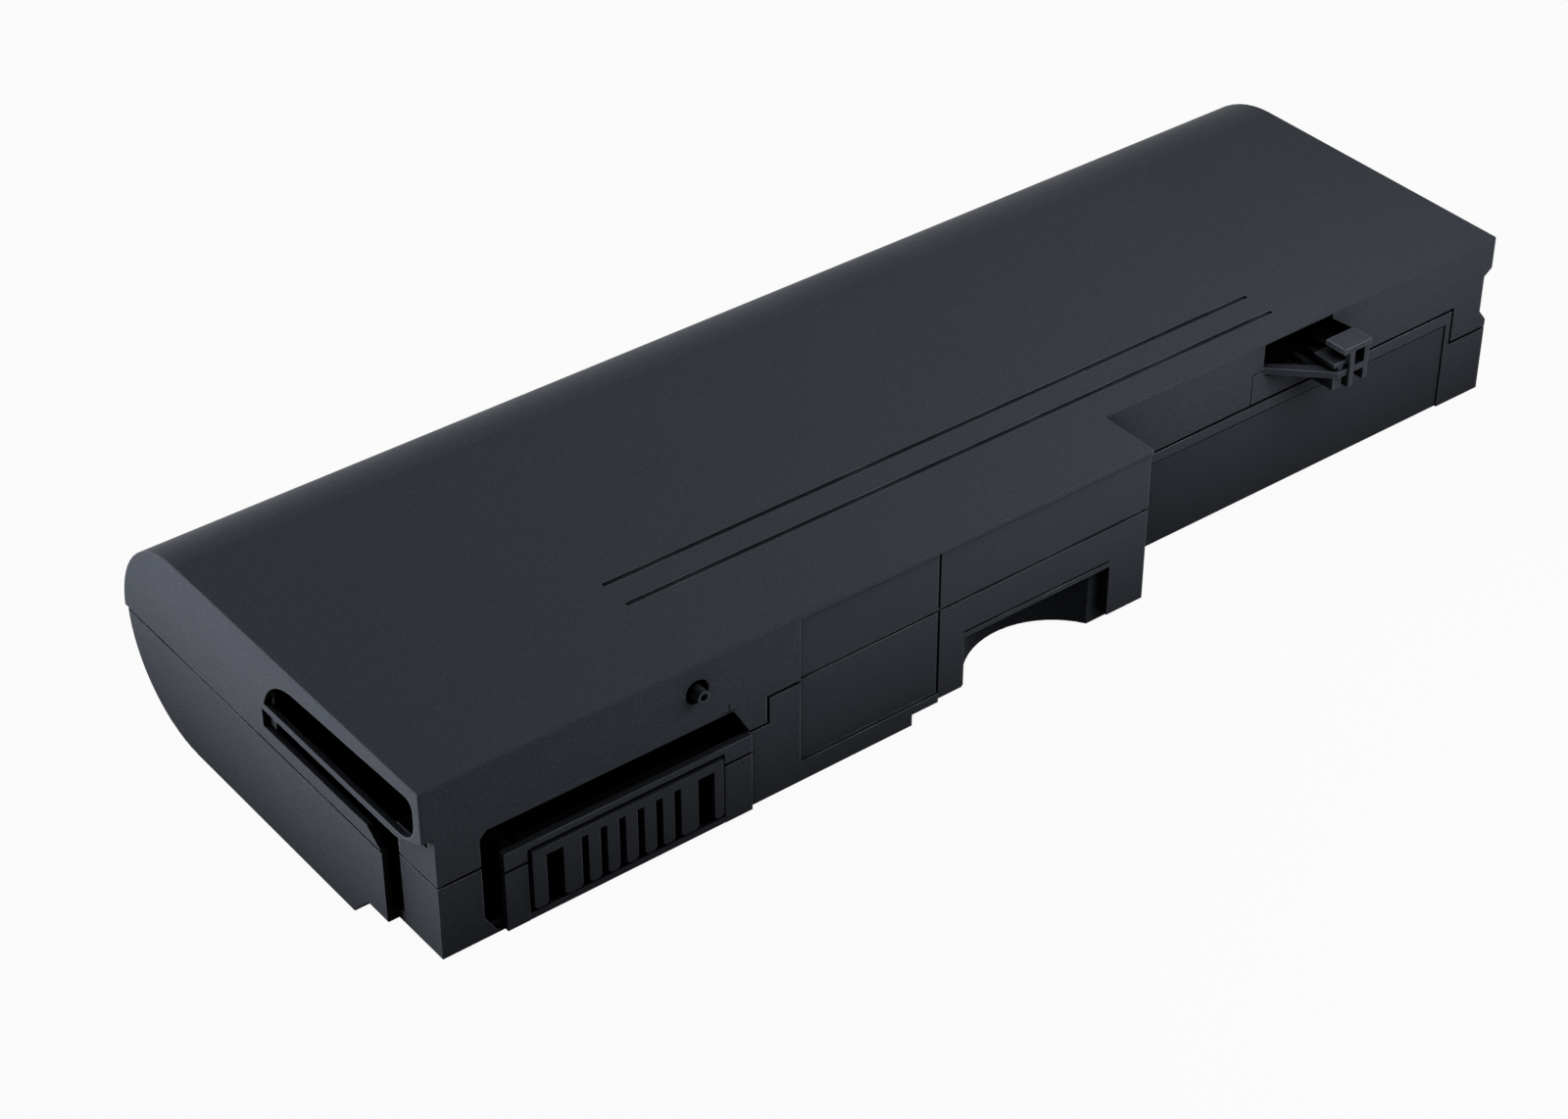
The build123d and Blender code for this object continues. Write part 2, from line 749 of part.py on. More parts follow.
def valley_tab(plane):
    top = (valley_tab_y(plane), lead_height)
    return strip_bar(plane, low_row, top, strip_tab_half_width, lead_half_width)


def cell_strips():
    strips = {}
    for plane in range(cell_columns + 1):
        bar = strip_bar(plane, rear_row, low_row, strip_half_width, strip_past)
        if plane < cell_columns:
            bar += valley_tab(plane)
        else:
            bar += strip_bar(plane, low_row, front_row, strip_half_width, strip_past)
        strips[f"cell_strip_{plane + 1}"] = bar
    return strips


def front_link_strip():
    # The ribbon in front of the front row that joins its two outer ends
    front = front_row_y - cell_radius - strip_gap - strip_thickness
    downs = (height - high_row_z - strip_half_width, height - high_row_z + strip_half_width)
    start = strip_x(1)
    foot = box_between((start, start + strip_thickness), (front, front_row_y + strip_past), downs)
    return foot + box_between((start, strip_x(cell_columns)), (front, front + strip_thickness), downs)


def front_positive_strip():
    xs = (strip_x(2), strip_x(2) + strip_thickness)
    return flat_bar(xs, front_row, positive_lead_start(), strip_tab_half_width, lead_half_width)


def positive_lead_start():
    # Beyond the front row's rim, on the side of the valley over the low row
    away = cell_radius + 2 * lead_half_width
    angle = math.radians(positive_tab_angle)
    return (front_row_y + away * math.cos(angle), high_row_z + away * math.sin(angle))


def circuit_board(contact_places):
    board = Pos(board_left + board_length / 2, board_front + board_depth / 2,
                board_underside + board_thickness / 2) * Box(board_length, board_depth, board_thickness)
    for x in contact_places:
        half = contact_width / 2 + board_fit
        notch_back = board_front + contact_over_board + board_fit
        board -= box_between((x - half, x + half), (board_front - overlap, notch_back), (0, height))
    return board


def on_board(x, y, size):
    # A part that sits on the board's top face, placed from the board's front left corner
    return Pos(board_left + x, board_front + y, board_top + size[2] / 2) * Box(*size)


def board_parts():
    # Four rows across the board: power parts, chips and fuse, capacitors, temperature sensor
    row_depths = [transistor_size[1], gauge_size[1], capacitor_size[1], sensor_size[1]]
    gap = (board_depth - sum(row_depths)) / (len(row_depths) + 1)
    rows = [sum(row_depths[:number]) + row_depths[number] / 2 + gap * (number + 1)
            for number in range(len(row_depths))]
    left = board_length / 4
    right = board_length * 3 / 4
    transistors = [on_board(left + number * transistor_pitch, rows[0], transistor_size)
                   for number in range(transistor_count)]
    capacitors = [on_board(left + number * capacitor_pitch, rows[2], capacitor_size)
                  for number in range(capacitor_count)]
    return {"gauge_chip": [on_board(left, rows[1], gauge_size)],
            "protection_chip": [on_board(board_length / 2, rows[1], guard_size)],
            "power_transistors": transistors, "sense_resistor": [on_board(right, rows[0], sense_size)],
            "thermal_fuse": [on_board(right, rows[1], fuse_size)], "capacitors": capacitors,
            "temperature_sensor": [on_board(left + transistor_pitch, rows[3], sensor_size)]}


def lead(start, pad_x, pad_y):
    # A flat ribbon from a strip: along the valley, folded across to its pad and down onto the board
    x, y, z = start
    half = lead_half_width
    downs = (height - z - lead_thickness / 2, height - z + lead_thickness / 2)
    along = box_between((min(x, pad_x - half), max(x, pad_x + half)), (y - half, y + half), downs)
    across = box_between((pad_x - half, pad_x + half), (pad_y - lead_thickness / 2, y + half), downs)
    drop = box_between((pad_x - half, pad_x + half), (pad_y - lead_thickness / 2, pad_y + lead_thickness / 2),
                       (downs[0], height - board_top))
    return along + across + drop


def leads():
    # The first lead leaves the left strip to the right; the others leave their strips to the left
    pad_y = board_front + board_depth - lead_pad_inset
    last_pad = board_left + board_length - lead_pad_right
    middle = (strip_x(1), valley_tab_y(1), lead_height)
    far = (strip_x(2), valley_tab_y(2), lead_height)
    positive = (strip_x(2), *positive_lead_start())
    near_end = (strip_x(0) + strip_thickness, valley_tab_y(0), lead_height)
    link = (strip_x(1), front_row_y, high_row_z)
    return {"lead_0": lead(near_end, board_left + lead_pad_pitch, pad_y),
            "lead_1": lead(middle, last_pad, pad_y),
            "lead_2": lead(far, last_pad - lead_pad_pitch, pad_y),
            "lead_3": lead(link, board_left + board_length - lead_front_inset, front_row_y),
            "lead_4": lead(positive, last_pad - 2 * lead_pad_pitch, pad_y)}


def end_pads():
    # Foam between the case's ends and the strips on the cells
    left = (wall, strip_x(0) - strip_gap)
    right = (strip_x(cell_columns) + strip_thickness + strip_gap, length - wall)
    pads = {}
    for name, xs in (("end_pad_left", left), ("end_pad_right", right)):
        pads[name] = flat_bar(xs, rear_row, low_row, cell_radius - pad_margin, pad_past)
    return pads


def rating_label():
    return box_between((label_left + label_margin, label_right - label_margin),
                       (setback + label_recess - label_thickness, setback + label_recess),
                       (label_top_down + label_margin, setback_foot_down - label_margin))


def build():
    shell = case_shell()
    under = below_seam(0)
    lower = shell & under
    lower += cell_cradles() + board_bosses()
    block, slot_places = connector_block()
    pieces = {"upper_case": [shell - under], "lower_case": [lower], "connector_block": [block],
              "connector_contacts": connector_contacts(slot_places), "rating_label": [rating_label()],
              "circuit_board": [circuit_board(slot_places)], "front_link_strip": [front_link_strip()],
              "front_positive_strip": [front_positive_strip()]}
    places = [(column, row) for row in (rear_row, low_row) for column in range(cell_columns)]
    places += [(column, front_row) for column in range(1, cell_columns)]
    for number, (column, row) in enumerate(places, 1):
        pieces[f"cell_{number}"] = [cell(column, row)]
    for group in (cell_strips(), leads(), end_pads()):
        for name, piece in group.items():
            pieces[name] = [piece]
    pieces.update(board_parts())
    return pieces


def main():
    os.makedirs("parts", exist_ok=True)
    front_most = min(-pin_length, -tower_proud, -comb_proud)
    to_origin = Pos(-length / 2, -(front_most + depth) / 2, 0)
    for name, solids in build().items():
        moved = [to_origin * solid for piece in solids for solid in piece.solids()]
        export_step(Compound(children=moved), f"parts/{name}.step")


main()
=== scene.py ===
import bpy
import bmesh
import json
from mathutils import Matrix, Vector


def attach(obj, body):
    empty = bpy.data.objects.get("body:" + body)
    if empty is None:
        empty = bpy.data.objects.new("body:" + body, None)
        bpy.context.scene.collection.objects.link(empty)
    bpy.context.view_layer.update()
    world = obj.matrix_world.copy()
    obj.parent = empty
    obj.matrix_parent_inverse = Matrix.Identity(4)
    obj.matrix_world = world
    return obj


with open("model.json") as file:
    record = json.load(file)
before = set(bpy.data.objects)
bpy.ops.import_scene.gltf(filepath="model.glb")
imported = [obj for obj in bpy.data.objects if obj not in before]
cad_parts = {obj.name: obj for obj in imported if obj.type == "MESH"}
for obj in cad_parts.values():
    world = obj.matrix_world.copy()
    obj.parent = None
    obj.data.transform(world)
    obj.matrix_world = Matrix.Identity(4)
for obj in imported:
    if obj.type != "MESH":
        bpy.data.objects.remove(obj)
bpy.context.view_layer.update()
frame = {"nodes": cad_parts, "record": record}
nodes = frame["nodes"]
print("frame loaded:", len(nodes), "nodes")

scene = bpy.context.scene
scene.view_settings.view_transform = "Standard"

# the CAD frame's origin lies under the middle of the pack
mm = 0.001
middleX = 102.75
middleY = 38.2
topZ = 32.8


def place(x, y, down):
    # millimetres from the left end, from the front face and below the top face
    return Vector(((x - middleX) * mm, (y - middleY) * mm, (topZ - down) * mm))


# shader helpers


def newMaterial(name):
    material = bpy.data.materials.new(name)
    material.use_nodes = True
    tree = material.node_tree
    tree.nodes.clear()
    output = tree.nodes.new("ShaderNodeOutputMaterial")
    shader = tree.nodes.new("ShaderNodeBsdfPrincipled")
    tree.links.new(shader.outputs["BSDF"], output.inputs["Surface"])
    return material, tree, shader


def addNode(tree, kind, settings=None, **values):
    node = tree.nodes.new(kind)
    for key, value in (settings or {}).items():
        setattr(node, key, value)
    for key, value in values.items():
        node.inputs[key.replace("_", " ")].default_value = value
    return node


def newGroup(name, inputs, outputs):
    group = bpy.data.node_groups.new(name, "ShaderNodeTree")
    for label, kind, value in inputs:
        socket = group.interface.new_socket(label, in_out="INPUT", socket_type=kind)
        if value is not None:
            socket.default_value = value
    for label, kind in outputs:
        group.interface.new_socket(label, in_out="OUTPUT", socket_type=kind)
    entry = group.nodes.new("NodeGroupInput")
    leave = group.nodes.new("NodeGroupOutput")
    return group, entry, leave


def useGroup(tree, group, **values):
    node = tree.nodes.new("ShaderNodeGroup")
    node.node_tree = group
    for key, value in values.items():
        node.inputs[key.replace("_", " ")].default_value = value
    return node


# moulded grain: fine spark eroded texture, with a slow change of sheen over the piece

grainLook = {"sparkStart": 0.52, "sparkFull": 0.74, "cloudLow": 0.3, "cloudHigh": 0.7}


def buildMouldGrain(look):
    group, entry, leave = newGroup(
        "mouldGrain",
        [("Position", "NodeSocketVector", None), ("Grain Scale", "NodeSocketFloat", 4200.0),
         ("Cloud Scale", "NodeSocketFloat", 45.0), ("Base", "NodeSocketColor", (0.03, 0.03, 0.04, 1)),
         ("Speck", "NodeSocketColor", (0.05, 0.05, 0.06, 1)), ("Speck Amount", "NodeSocketFloat", 0.5),
         ("Rough Low", "NodeSocketFloat", 0.45), ("Rough High", "NodeSocketFloat", 0.6)],
        [("Color", "NodeSocketColor"), ("Roughness", "NodeSocketFloat"), ("Height", "NodeSocketFloat")])
    links = group.links
    grain = addNode(group, "ShaderNodeTexNoise", Detail=3.0, Roughness=0.6)
    links.new(entry.outputs["Position"], grain.inputs["Vector"])
    links.new(entry.outputs["Grain Scale"], grain.inputs["Scale"])
    cloud = addNode(group, "ShaderNodeTexNoise", Detail=4.0, Roughness=0.55)
    links.new(entry.outputs["Position"], cloud.inputs["Vector"])
    links.new(entry.outputs["Cloud Scale"], cloud.inputs["Scale"])
    spark = addNode(group, "ShaderNodeMapRange", From_Min=look["sparkStart"], From_Max=look["sparkFull"])
    links.new(grain.outputs["Fac"], spark.inputs["Value"])
    amount = addNode(group, "ShaderNodeMath", {"operation": "MULTIPLY"})
    links.new(spark.outputs["Result"], amount.inputs[0])
    links.new(entry.outputs["Speck Amount"], amount.inputs[1])
    tone = addNode(group, "ShaderNodeMix", {"data_type": "RGBA"})
    links.new(amount.outputs["Value"], tone.inputs["Factor"])
    links.new(entry.outputs["Base"], tone.inputs["A"])
    links.new(entry.outputs["Speck"], tone.inputs["B"])
    links.new(tone.outputs["Result"], leave.inputs["Color"])
    rough = addNode(group, "ShaderNodeMapRange", From_Min=look["cloudLow"], From_Max=look["cloudHigh"])
    links.new(cloud.outputs["Fac"], rough.inputs["Value"])
    links.new(entry.outputs["Rough Low"], rough.inputs["To Min"])
    links.new(entry.outputs["Rough High"], rough.inputs["To Max"])
    links.new(rough.outputs["Result"], leave.inputs["Roughness"])
    links.new(grain.outputs["Fac"], leave.inputs["Height"])
    return group


mouldGrain = buildMouldGrain(grainLook)


# painted shade: ambient occlusion darkens the colour in deep pockets over a long reach, low on the walls
# near the floor too, and in narrow slits over a short one

occlusionShadeLook = {"reach": 0.030, "slitReach": 0.009, "darkest": 0.01, "samples": 8,
              "closedAt": 0.30, "openAt": 0.98, "slitClosedAt": 0.18, "slitOpenAt": 0.46}


def buildPaintedOcclusionShade(look):
    group, entry, leave = newGroup(
        "paintedOcclusionShade",
        [("Color", "NodeSocketColor", (0.03, 0.03, 0.04, 1)), ("Roughness", "NodeSocketFloat", 0.5),
         ("Depth", "NodeSocketFloat", look["reach"]), ("Slit", "NodeSocketFloat", look["slitReach"]),
         ("Darkest", "NodeSocketFloat", look["darkest"])],
        [("Color", "NodeSocketColor"), ("Roughness", "NodeSocketFloat"), ("Openness", "NodeSocketFloat")])
    links = group.links
    hollow = addNode(group, "ShaderNodeAmbientOcclusion", {"samples": look["samples"]})
    links.new(entry.outputs["Depth"], hollow.inputs["Distance"])
    openness = addNode(group, "ShaderNodeMapRange", From_Min=look["closedAt"], From_Max=look["openAt"])
    links.new(hollow.outputs["AO"], openness.inputs["Value"])
    links.new(entry.outputs["Darkest"], openness.inputs["To Min"])
    slit = addNode(group, "ShaderNodeAmbientOcclusion", {"samples": look["samples"]})
    links.new(entry.outputs["Slit"], slit.inputs["Distance"])
    narrow = addNode(group, "ShaderNodeMapRange", From_Min=look["slitClosedAt"], From_Max=look["slitOpenAt"])
    links.new(slit.outputs["AO"], narrow.inputs["Value"])
    # the light left after occlusion, multiplied into the colour below as painted shade
    light = addNode(group, "ShaderNodeMath", {"operation": "MULTIPLY"})
    links.new(openness.outputs["Result"], light.inputs[0])
    links.new(narrow.outputs["Result"], light.inputs[1])
    tone = addNode(group, "ShaderNodeMix", {"data_type": "RGBA", "blend_type": "MULTIPLY"}, Factor=1.0)
    links.new(entry.outputs["Color"], tone.inputs["A"])
    links.new(light.outputs["Value"], tone.inputs["B"])
    links.new(tone.outputs["Result"], leave.inputs["Color"])
    dull = addNode(group, "ShaderNodeMix", {"data_type": "FLOAT"}, A=1.0)
    links.new(light.outputs["Value"], dull.inputs["Factor"])
    links.new(entry.outputs["Roughness"], dull.inputs["B"])
    links.new(dull.outputs["Result"], leave.inputs["Roughness"])
    links.new(light.outputs["Value"], leave.inputs["Openness"])
    return group


paintedOcclusionShade = buildPaintedOcclusionShade(occlusionShadeLook)


# painted highlight: open convex corners lightened in patches, found where the rounded normal leaves the true
# one

edgeHighlightLook = {"cornerStart": 0.99, "cornerFull": 0.82, "raisedStart": 0.12, "raisedFull": 0.40,
             "patchScale": 90.0, "patchLow": 0.42, "patchHigh": 0.62, "patchLeast": 0.25}


def buildEdgeShine(look):
    group, entry, leave = newGroup(
        "edgeShine",
        [("Rounded Normal", "NodeSocketVector", None), ("Position", "NodeSocketVector", None),
         ("Openness", "NodeSocketFloat", 1.0),
         ("Color", "NodeSocketColor", (0.03, 0.03, 0.04, 1)),
         ("Shine", "NodeSocketColor", (0.1, 0.1, 0.1, 1)),
         ("Amount", "NodeSocketFloat", 0.5)],
        [("Color", "NodeSocketColor"), ("Mask", "NodeSocketFloat")])
    links = group.links
    surface = group.nodes.new("ShaderNodeNewGeometry")
    agree = addNode(group, "ShaderNodeVectorMath", {"operation": "DOT_PRODUCT"})
    links.new(entry.outputs["Rounded Normal"], agree.inputs[0])
    links.new(surface.outputs["Normal"], agree.inputs[1])
    corner = addNode(group, "ShaderNodeMapRange", From_Min=look["cornerStart"], From_Max=look["cornerFull"])
    links.new(agree.outputs["Value"], corner.inputs["Value"])
    raised = addNode(group, "ShaderNodeMapRange", From_Min=look["raisedStart"], From_Max=look["raisedFull"])
    links.new(entry.outputs["Openness"], raised.inputs["Value"])
    both = addNode(group, "ShaderNodeMath", {"operation": "MULTIPLY"})
    links.new(corner.outputs["Result"], both.inputs[0])
    links.new(raised.outputs["Result"], both.inputs[1])
    highlightPatchNoise = addNode(group, "ShaderNodeTexNoise", Scale=look["patchScale"], Detail=3.0)
    links.new(entry.outputs["Position"], highlightPatchNoise.inputs["Vector"])
    patch = addNode(group, "ShaderNodeMapRange", From_Min=look["patchLow"], From_Max=look["patchHigh"],
                    To_Min=look["patchLeast"])
    links.new(highlightPatchNoise.outputs["Fac"], patch.inputs["Value"])
    patchedHighlight = addNode(group, "ShaderNodeMath", {"operation": "MULTIPLY"})
    links.new(both.outputs["Value"], patchedHighlight.inputs[0])
    links.new(patch.outputs["Result"], patchedHighlight.inputs[1])
    mask = addNode(group, "ShaderNodeMath", {"operation": "MULTIPLY"})
    links.new(patchedHighlight.outputs["Value"], mask.inputs[0])
    links.new(entry.outputs["Amount"], mask.inputs[1])
    # the painted highlight tone is mixed into the colour by the mask
    tone = addNode(group, "ShaderNodeMix", {"data_type": "RGBA"})
    links.new(mask.outputs["Value"], tone.inputs["Factor"])
    links.new(entry.outputs["Color"], tone.inputs["A"])
    links.new(entry.outputs["Shine"], tone.inputs["B"])
    links.new(tone.outputs["Result"], leave.inputs["Color"])
    links.new(mask.outputs["Value"], leave.inputs["Mask"])
    return group


edgeShine = buildEdgeShine(edgeHighlightLook)

# strength of the painted edge highlight for a plastic that names none
plainShineAmount = 0.3  # for a plastic that names none
bevelSamples = 6


def mouldedPlastic(name, look):
    material, tree, shader = newMaterial(name)
    coords = tree.nodes.new("ShaderNodeTexCoord")
    grain = useGroup(tree, mouldGrain, Grain_Scale=look["grainScale"], Base=look["base"],
                     Speck=look["speck"], Speck_Amount=look["speckAmount"], Rough_Low=look["roughLow"],
                     Rough_High=look["roughHigh"])
    tree.links.new(coords.outputs["Object"], grain.inputs["Position"])
    shader.inputs["Specular IOR Level"].default_value = look["specular"]
    # painted shade: the grain colour is darkened in pockets, slits and low near the floor, and the roughness
    # is raised there
    hollow = useGroup(tree, paintedOcclusionShade)
    tree.links.new(grain.outputs["Color"], hollow.inputs["Color"])
    tree.links.new(grain.outputs["Roughness"], hollow.inputs["Roughness"])
    # painted highlight: open convex edges are lightened toward the highlight tone in patches
    highlightTone = useGroup(tree, edgeShine, Shine=look.get("highlightTone", look["speck"]),
                     Amount=look.get("highlightAmount", plainShineAmount))
    tree.links.new(hollow.outputs["Color"], highlightTone.inputs["Color"])
    tree.links.new(hollow.outputs["Openness"], highlightTone.inputs["Openness"])
    tree.links.new(coords.outputs["Object"], highlightTone.inputs["Position"])
    tree.links.new(highlightTone.outputs["Color"], shader.inputs["Base Color"])
    tree.links.new(hollow.outputs["Roughness"], shader.inputs["Roughness"])
    bump = addNode(tree, "ShaderNodeBump", Strength=look["bumpStrength"], Distance=look["bumpDistance"])
    tree.links.new(grain.outputs["Height"], bump.inputs["Height"])
    edge = addNode(tree, "ShaderNodeBevel", {"samples": bevelSamples}, Radius=look["edgeRadius"])
    tree.links.new(edge.outputs["Normal"], highlightTone.inputs["Rounded Normal"])
    tree.links.new(edge.outputs["Normal"], bump.inputs["Normal"])
    tree.links.new(bump.outputs["Normal"], shader.inputs["Normal"])
    return material


# each plastic's base is its own colour; its highlight tone and amount set its painted edge highlight
casePlastic = mouldedPlastic("casePlastic", {
    "base": (0.0330, 0.0370, 0.0460, 1), "speck": (0.074, 0.081, 0.097, 1), "speckAmount": 0.55,
    "grainScale": 4200.0, "roughLow": 0.44, "roughHigh": 0.52, "bumpStrength": 0.35,
    "bumpDistance": 0.00006, "edgeRadius": 0.00025, "specular": 0.03, "highlightTone": (0.20, 0.21, 0.24, 1),
    "highlightAmount": 0.7})
connectorPlastic = mouldedPlastic("connectorPlastic", {
    "base": (0.0290, 0.0325, 0.0410, 1), "speck": (0.055, 0.060, 0.073, 1), "speckAmount": 0.35,
    "grainScale": 5200.0, "roughLow": 0.36, "roughHigh": 0.44, "bumpStrength": 0.2,
    "bumpDistance": 0.00004, "edgeRadius": 0.00020, "specular": 0.03, "highlightTone": (0.12, 0.13, 0.15, 1),
    "highlightAmount": 0.6})
labelFilm = mouldedPlastic("labelFilm", {
    "base": (0.0210, 0.0245, 0.0320, 1), "speck": (0.034, 0.039, 0.049, 1), "speckAmount": 0.3,
    "grainScale": 2600.0, "roughLow": 0.34, "roughHigh": 0.42, "bumpStrength": 0.12,
    "bumpDistance": 0.00003, "edgeRadius": 0.00005, "specular": 0.05})
cellSleeve = mouldedPlastic("cellSleeve", {
    "base": (0.035, 0.110, 0.230, 1), "speck": (0.050, 0.140, 0.270, 1), "speckAmount": 0.4,
    "grainScale": 900.0, "roughLow": 0.24, "roughHigh": 0.34, "bumpStrength": 0.1,
    "bumpDistance": 0.00004, "edgeRadius": 0.00020, "specular": 0.5})
leadSleeve = mouldedPlastic("leadSleeve", {
    "base": (0.300, 0.150, 0.020, 1), "speck": (0.360, 0.200, 0.040, 1), "speckAmount": 0.4,
    "grainScale": 1500.0, "roughLow": 0.3, "roughHigh": 0.4, "bumpStrength": 0.1,
    "bumpDistance": 0.00003, "edgeRadius": 0.00005, "specular": 0.5})
foamPad = mouldedPlastic("foamPad", {
    "base": (0.045, 0.045, 0.048, 1), "speck": (0.110, 0.110, 0.115, 1), "speckAmount": 0.8,
    "grainScale": 1800.0, "roughLow": 0.85, "roughHigh": 0.95, "bumpStrength": 0.8,
    "bumpDistance": 0.00020, "edgeRadius": 0.00020, "specular": 0.2})
boardMask = mouldedPlastic("boardMask", {
    "base": (0.010, 0.085, 0.035, 1), "speck": (0.020, 0.120, 0.050, 1), "speckAmount": 0.5,
    "grainScale": 700.0, "roughLow": 0.25, "roughHigh": 0.35, "bumpStrength": 0.15,
    "bumpDistance": 0.00004, "edgeRadius": 0.00010, "specular": 0.5})
chipPlastic = mouldedPlastic("chipPlastic", {
    "base": (0.020, 0.020, 0.021, 1), "speck": (0.045, 0.045, 0.046, 1), "speckAmount": 0.5,
    "grainScale": 3600.0, "roughLow": 0.5, "roughHigh": 0.6, "bumpStrength": 0.2,
    "bumpDistance": 0.00004, "edgeRadius": 0.00008, "specular": 0.5})
print("plastics ready")


# rolled or plated metal: lengthwise brush marks and small tarnish spots


def brushedMetal(name, look):
    material, tree, shader = newMaterial(name)
    coords = tree.nodes.new("ShaderNodeTexCoord")
    stretch = addNode(tree, "ShaderNodeMapping", Scale=look["brush"])
    tree.links.new(coords.outputs["Object"], stretch.inputs["Vector"])
    marks = addNode(tree, "ShaderNodeTexNoise", Scale=1.0, Detail=4.0, Roughness=0.6)
    tree.links.new(stretch.outputs["Vector"], marks.inputs["Vector"])
    tone = addNode(tree, "ShaderNodeMix", {"data_type": "RGBA"}, A=look["dark"], B=look["light"])
    tree.links.new(marks.outputs["Fac"], tone.inputs["Factor"])
    tree.links.new(tone.outputs["Result"], shader.inputs["Base Color"])
    rough = addNode(tree, "ShaderNodeMapRange", To_Min=look["roughLow"], To_Max=look["roughHigh"])
    tree.links.new(marks.outputs["Fac"], rough.inputs["Value"])
    tree.links.new(rough.outputs["Result"], shader.inputs["Roughness"])
    shader.inputs["Metallic"].default_value = 1.0
    return material


contactMetal = brushedMetal("contactMetal", {
    "dark": (0.50, 0.33, 0.10, 1), "light": (0.80, 0.58, 0.24, 1), "brush": (900.0, 300.0, 2400.0),
    "roughLow": 0.22, "roughHigh": 0.36})
nickelStrip = brushedMetal("nickelStrip", {
    "dark": (0.46, 0.44, 0.40, 1), "light": (0.70, 0.68, 0.63, 1), "brush": (300.0, 300.0, 2400.0),
    "roughLow": 0.26, "roughHigh": 0.42})
print("metals ready")

slotMaterials = {
    "case_plastic": casePlastic, "connector_plastic": connectorPlastic, "contact_metal": contactMetal,
    "label_film": labelFilm, "nickel": nickelStrip, "cell_sleeve": cellSleeve, "lead_sleeve": leadSleeve,
    "foam": foamPad, "board": boardMask, "chip_plastic": chipPlastic}
nodeSlots = {row["node"]: row["material_slot"] for row in frame["record"]["subparts"]}
for name, piece in nodes.items():
    piece.data.materials.clear()
    piece.data.materials.append(slotMaterials[nodeSlots[name]])
print("materials on every node")


# polarity sign beside the pin: thin dark strips as painted shade of its sunk strokes, from corner to corner
# in millimetres

polarityLook = {"color": (0.004, 0.004, 0.005, 1), "roughness": 0.7, "specular": 0.1, "thick": 0.03,
                "strokes": [((48.35, 9.0), (48.55, 10.5)), ((47.2, 10.25), (49.7, 10.45))]}


def buildPolarity(look):
    material, tree, shader = newMaterial("polaritySunkShade")
    shader.inputs["Base Color"].default_value = look["color"]
    shader.inputs["Roughness"].default_value = look["roughness"]
    shader.inputs["Specular IOR Level"].default_value = look["specular"]
    mesh = bpy.data.meshes.new("polaritySign")
    work = bmesh.new()
    for (left, top), (right, bottom) in look["strokes"]:
        low = place(left, -look["thick"], bottom)
        high = place(right, look["thick"], top)
        made = bmesh.ops.create_cube(work, size=1.0)["verts"]
        bmesh.ops.scale(work, vec=high - low, verts=made)
        bmesh.ops.translate(work, vec=(low + high) / 2, verts=made)
    work.to_mesh(mesh)
    work.free()
    mesh.materials.append(material)
    piece = bpy.data.objects.new("polaritySign", mesh)
    scene.collection.objects.link(piece)
    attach(piece, "root")


buildPolarity(polarityLook)
print("polarity sign ready")


# stage: floor that reads white to the camera and in reflections and keeps the soft shadow


def whiteRays(tree):
    path = tree.nodes.new("ShaderNodeLightPath")
    mirrored = addNode(tree, "ShaderNodeMath", {"operation": "MAXIMUM"})
    tree.links.new(path.outputs["Is Camera Ray"], mirrored.inputs[0])
    tree.links.new(path.outputs["Is Glossy Ray"], mirrored.inputs[1])
    seen = addNode(tree, "ShaderNodeMath", {"operation": "MAXIMUM"})
    tree.links.new(mirrored.outputs["Value"], seen.inputs[0])
    tree.links.new(path.outputs["Is Transmission Ray"], seen.inputs[1])
    return seen.outputs["Value"]


floorLook = {"size": 6.0, "below": 0.0001, "color": (0.30, 0.30, 0.31, 1), "roughness": 0.9,
             "whiteShare": 0.95}


def buildFloor(look):
    bpy.ops.mesh.primitive_plane_add(size=look["size"], location=(0, 0, -look["below"]))
    floor = bpy.context.object
    floor.name = "studioFloor"
    material, tree, shader = newMaterial("studioPaper")
    shader.inputs["Base Color"].default_value = look["color"]
    shader.inputs["Roughness"].default_value = look["roughness"]
    output = tree.nodes["Material Output"]
    glow = addNode(tree, "ShaderNodeEmission", Color=(1, 1, 1, 1), Strength=1.0)
    share = addNode(tree, "ShaderNodeMath", {"operation": "MULTIPLY"})
    share.inputs[1].default_value = look["whiteShare"]
    tree.links.new(whiteRays(tree), share.inputs[0])
    blend = tree.nodes.new("ShaderNodeMixShader")
    tree.links.new(share.outputs["Value"], blend.inputs["Fac"])
    tree.links.new(shader.outputs["BSDF"], blend.inputs[1])
    tree.links.new(glow.outputs["Emission"], blend.inputs[2])
    tree.links.new(blend.outputs["Shader"], output.inputs["Surface"])
    floor.data.materials.append(material)


buildFloor(floorLook)

roomLook = {"color": (0.92, 0.95, 1.0, 1), "strength": 0.07}


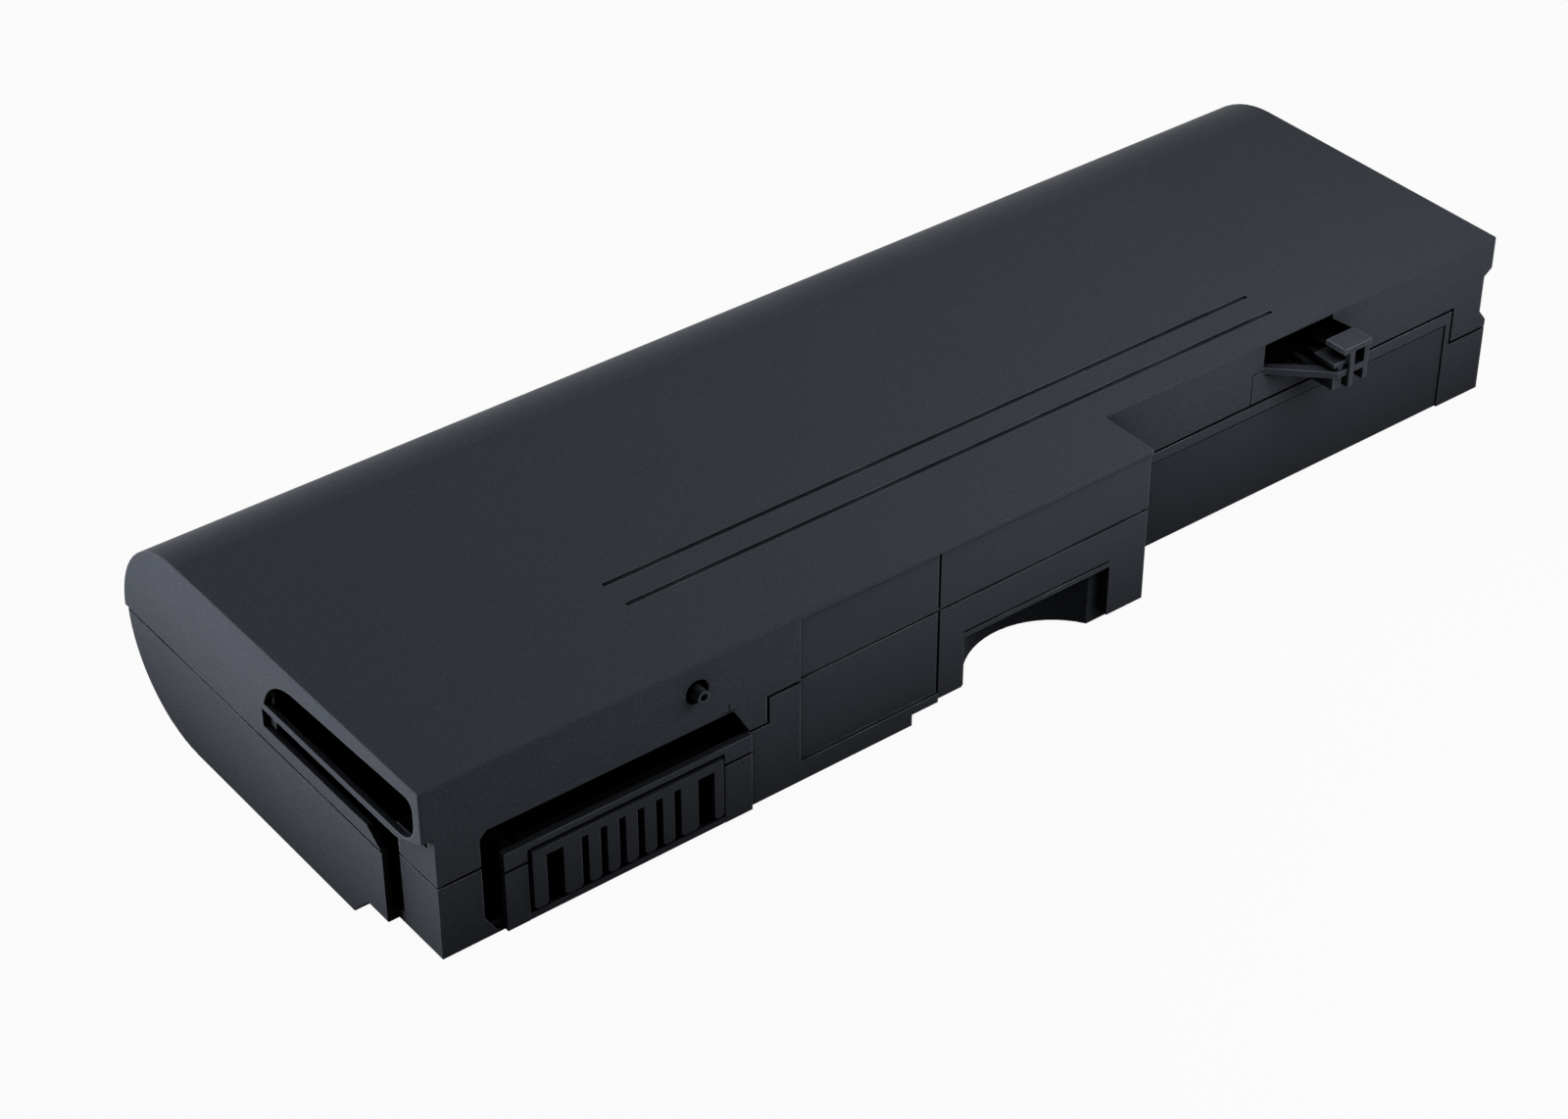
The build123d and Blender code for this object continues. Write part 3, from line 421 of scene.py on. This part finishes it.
def buildWorld(look):
    world = bpy.data.worlds.new("studioWorld")
    scene.world = world
    world.use_nodes = True
    tree = world.node_tree
    tree.nodes.clear()
    output = tree.nodes.new("ShaderNodeOutputWorld")
    room = addNode(tree, "ShaderNodeBackground", Color=look["color"], Strength=look["strength"])
    white = addNode(tree, "ShaderNodeBackground", Color=(1, 1, 1, 1), Strength=1.0)
    blend = tree.nodes.new("ShaderNodeMixShader")
    tree.links.new(whiteRays(tree), blend.inputs["Fac"])
    tree.links.new(room.outputs["Background"], blend.inputs[1])
    tree.links.new(white.outputs["Background"], blend.inputs[2])
    tree.links.new(blend.outputs["Shader"], output.inputs["Surface"])


buildWorld(roomLook)

lamps = {
    "keyLamp": {"at": (-0.75, 0.40, 0.05), "size": 0.4, "power": 19.5},
    "frontLamp": {"at": (0.07, -0.15, 0.14), "size": 0.12, "power": 0.33},
    "rearLamp": {"at": (-0.30, 1.00, 0.10), "size": 0.6, "power": 6.0},
    "rightLamp": {"at": (1.00, -0.10, 0.10), "size": 0.6, "power": 5.0}}


def buildLamps(rows):
    for name, row in rows.items():
        data = bpy.data.lights.new(name, "AREA")
        data.size = row["size"]
        data.energy = row["power"]
        lamp = bpy.data.objects.new(name, data)
        scene.collection.objects.link(lamp)
        lamp.location = row["at"]
        lamp.rotation_euler = (-Vector(row["at"])).to_track_quat("-Z", "Y").to_euler()


buildLamps(lamps)
print("stage and lamps ready")

# camera at the photograph's angle
view = {"eye": (-0.26955, -0.3297, 0.3132), "right": (0.791, -0.612, -0.002),
        "forward": (0.492, 0.639, -0.5915), "lens": 80.2, "sensor": 36.0, "nearClip": 0.01}


def buildCamera(row):
    data = bpy.data.cameras.new("photoCamera")
    data.sensor_fit = "HORIZONTAL"
    data.sensor_width = row["sensor"]
    data.lens = row["lens"]
    data.clip_start = row["nearClip"]
    camera = bpy.data.objects.new("photoCamera", data)
    scene.collection.objects.link(camera)
    ahead = Vector(row["forward"]).normalized()
    right = Vector(row["right"])
    right = (right - ahead * right.dot(ahead)).normalized()
    up = right.cross(ahead)
    turn = Matrix((right, up, -ahead)).transposed().to_4x4()
    camera.matrix_world = Matrix.Translation(Vector(row["eye"])) @ turn
    scene.camera = camera


buildCamera(view)
print("camera ready")
